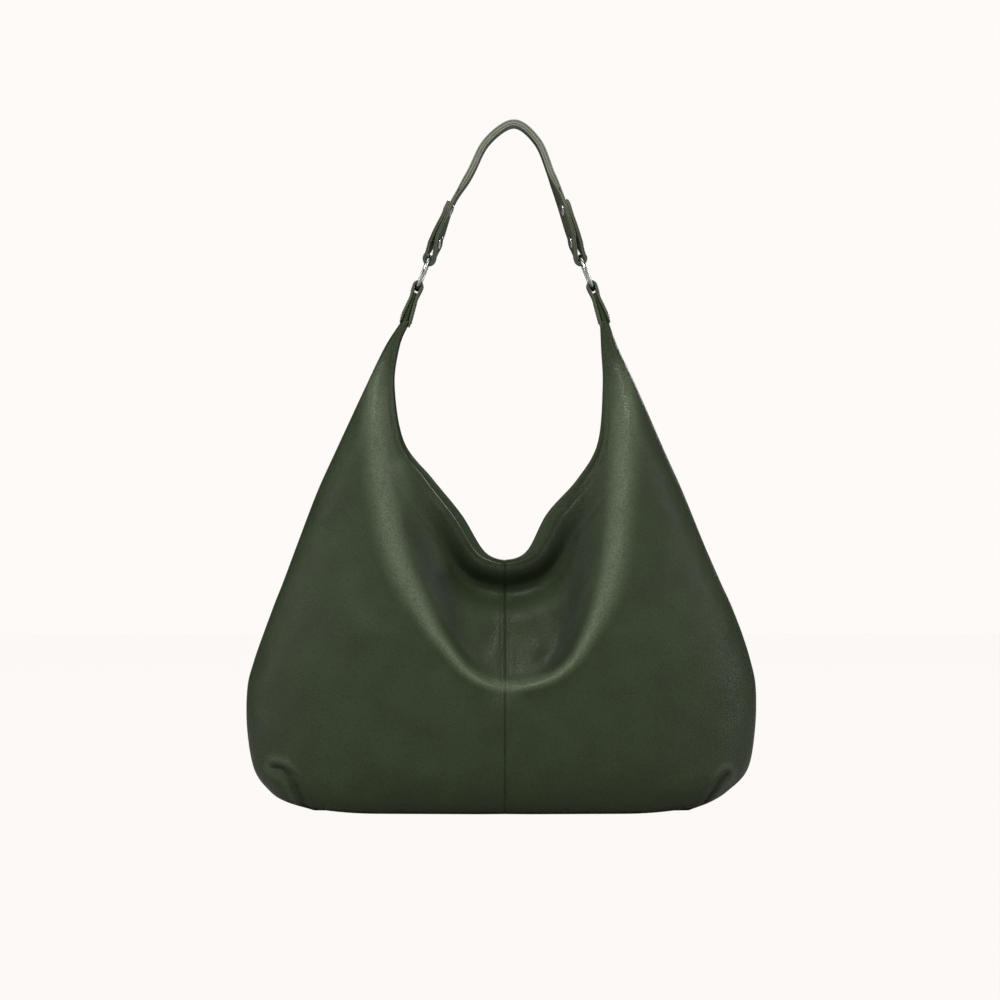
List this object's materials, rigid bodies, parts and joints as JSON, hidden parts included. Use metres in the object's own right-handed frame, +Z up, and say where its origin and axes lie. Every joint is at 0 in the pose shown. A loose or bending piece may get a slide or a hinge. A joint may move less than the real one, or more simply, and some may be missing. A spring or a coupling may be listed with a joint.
{
  "type": "hobo bag",
  "caption": "Slouchy leather hobo shoulder bag with a scooped mouth, tapering horns and a short strap held by round steel rings.",
  "frame": {"origin": "on the floor, under the middle of the bag", "axes": "+Z up, the front faces -Y, +X to the right when looking at the front"},
  "size_m": [0.4214, 0.1226, 0.5726],
  "materials": {
    "panel_leather": "pebble-grained, semi-gloss dark green",
    "facing_leather": "pebble-grained, semi-gloss dark green",
    "tab_leather": "pebble-grained, semi-gloss dark green",
    "strap_leather": "pebble-grained with painted edges",
    "strap_filler": "bonded leather board",
    "lining_cloth": "plain woven twill",
    "zip_cloth": "woven tape",
    "zip_nylon": "moulded coil",
    "zip_metal": "nickel plated",
    "snap_steel": "nickel plated",
    "polished_steel": "polished wire",
    "rivet_steel": "polished"
  },
  "bodies": {
    "bag": {"front_panel_left": "panel_leather", "front_panel_right": "panel_leather", "back_panel_left": "panel_leather", "back_panel_right": "panel_leather", "front_facing": "facing_leather", "back_facing": "facing_leather", "front_lining": "lining_cloth", "back_lining": "lining_cloth", "slip_pocket": "lining_cloth", "zip_pocket": "lining_cloth", "zip_tape_upper": "zip_cloth", "zip_tape_lower": "zip_cloth", "zip_coil_upper": "zip_nylon", "zip_coil_lower": "zip_nylon", "snap_socket": "snap_steel", "snap_socket_washer": "snap_steel", "snap_stud": "snap_steel", "snap_stud_washer": "snap_steel"},
    "horn_ends": {"ring_tab_left": "tab_leather", "ring_tab_right": "tab_leather", "horn_end_left": "panel_leather", "horn_end_right": "panel_leather"},
    "left_ring": {"ring_left": "polished_steel"},
    "right_ring": {"ring_right": "polished_steel"},
    "strap": {"strap_top_leather": "strap_leather", "strap_under_leather": "strap_leather", "strap_core": "strap_filler", "rivet_post_left_lower": "rivet_steel", "rivet_post_left_upper": "rivet_steel", "rivet_post_right_lower": "rivet_steel", "rivet_post_right_upper": "rivet_steel", "rivet_cap_left_lower": "rivet_steel", "rivet_cap_left_upper": "rivet_steel", "rivet_cap_right_lower": "rivet_steel", "rivet_cap_right_upper": "rivet_steel"},
    "slider": {"zip_slider": "zip_metal"},
    "pull": {"zip_pull": "zip_metal"}
  },
  "joints": [
    {"name": "handle_fold", "type": "hinge", "parent": "bag", "child": "horn_ends", "pos_m": [0, 0, 0.376], "axis": [1, 0, 0], "range_deg": [-120, 120], "deforming": ["front_panel_left", "front_panel_right", "back_panel_left", "back_panel_right"]},
    {"name": "left_ring_swing", "type": "hinge", "parent": "horn_ends", "child": "left_ring", "pos_m": [-0.07286, 0, 0.4311], "axis": [0, 1, 0], "range_deg": [-6.5, 6.5]},
    {"name": "strap_swing", "type": "hinge", "parent": "left_ring", "child": "strap", "pos_m": [-0.06162, 0, 0.45892], "axis": [0, 1, 0], "range_deg": [-7.8, 7.8]},
    {"name": "right_ring_swing", "type": "hinge", "parent": "horn_ends", "child": "right_ring", "pos_m": [0.07286, 0, 0.4311], "axis": [0, 1, 0], "range_deg": [-6.6, 6.6]},
    {"name": "zip_slide", "type": "slide", "parent": "bag", "child": "slider", "axis": [-1, 0, 0], "range_m": [0, 0.113]},
    {"name": "zip_pull_flip", "type": "hinge", "parent": "slider", "child": "pull", "pos_m": [0.0565, 0.04045, 0.13677], "axis": [0, -0.2456, 0.9694], "range_deg": [0, 165]}
  ],
  "couplings": [
    {"joint": "strap_swing", "follows": "left_ring_swing", "ratio": -1.1824},
    {"joint": "right_ring_swing", "follows": "left_ring_swing", "ratio": 1}
  ]
}
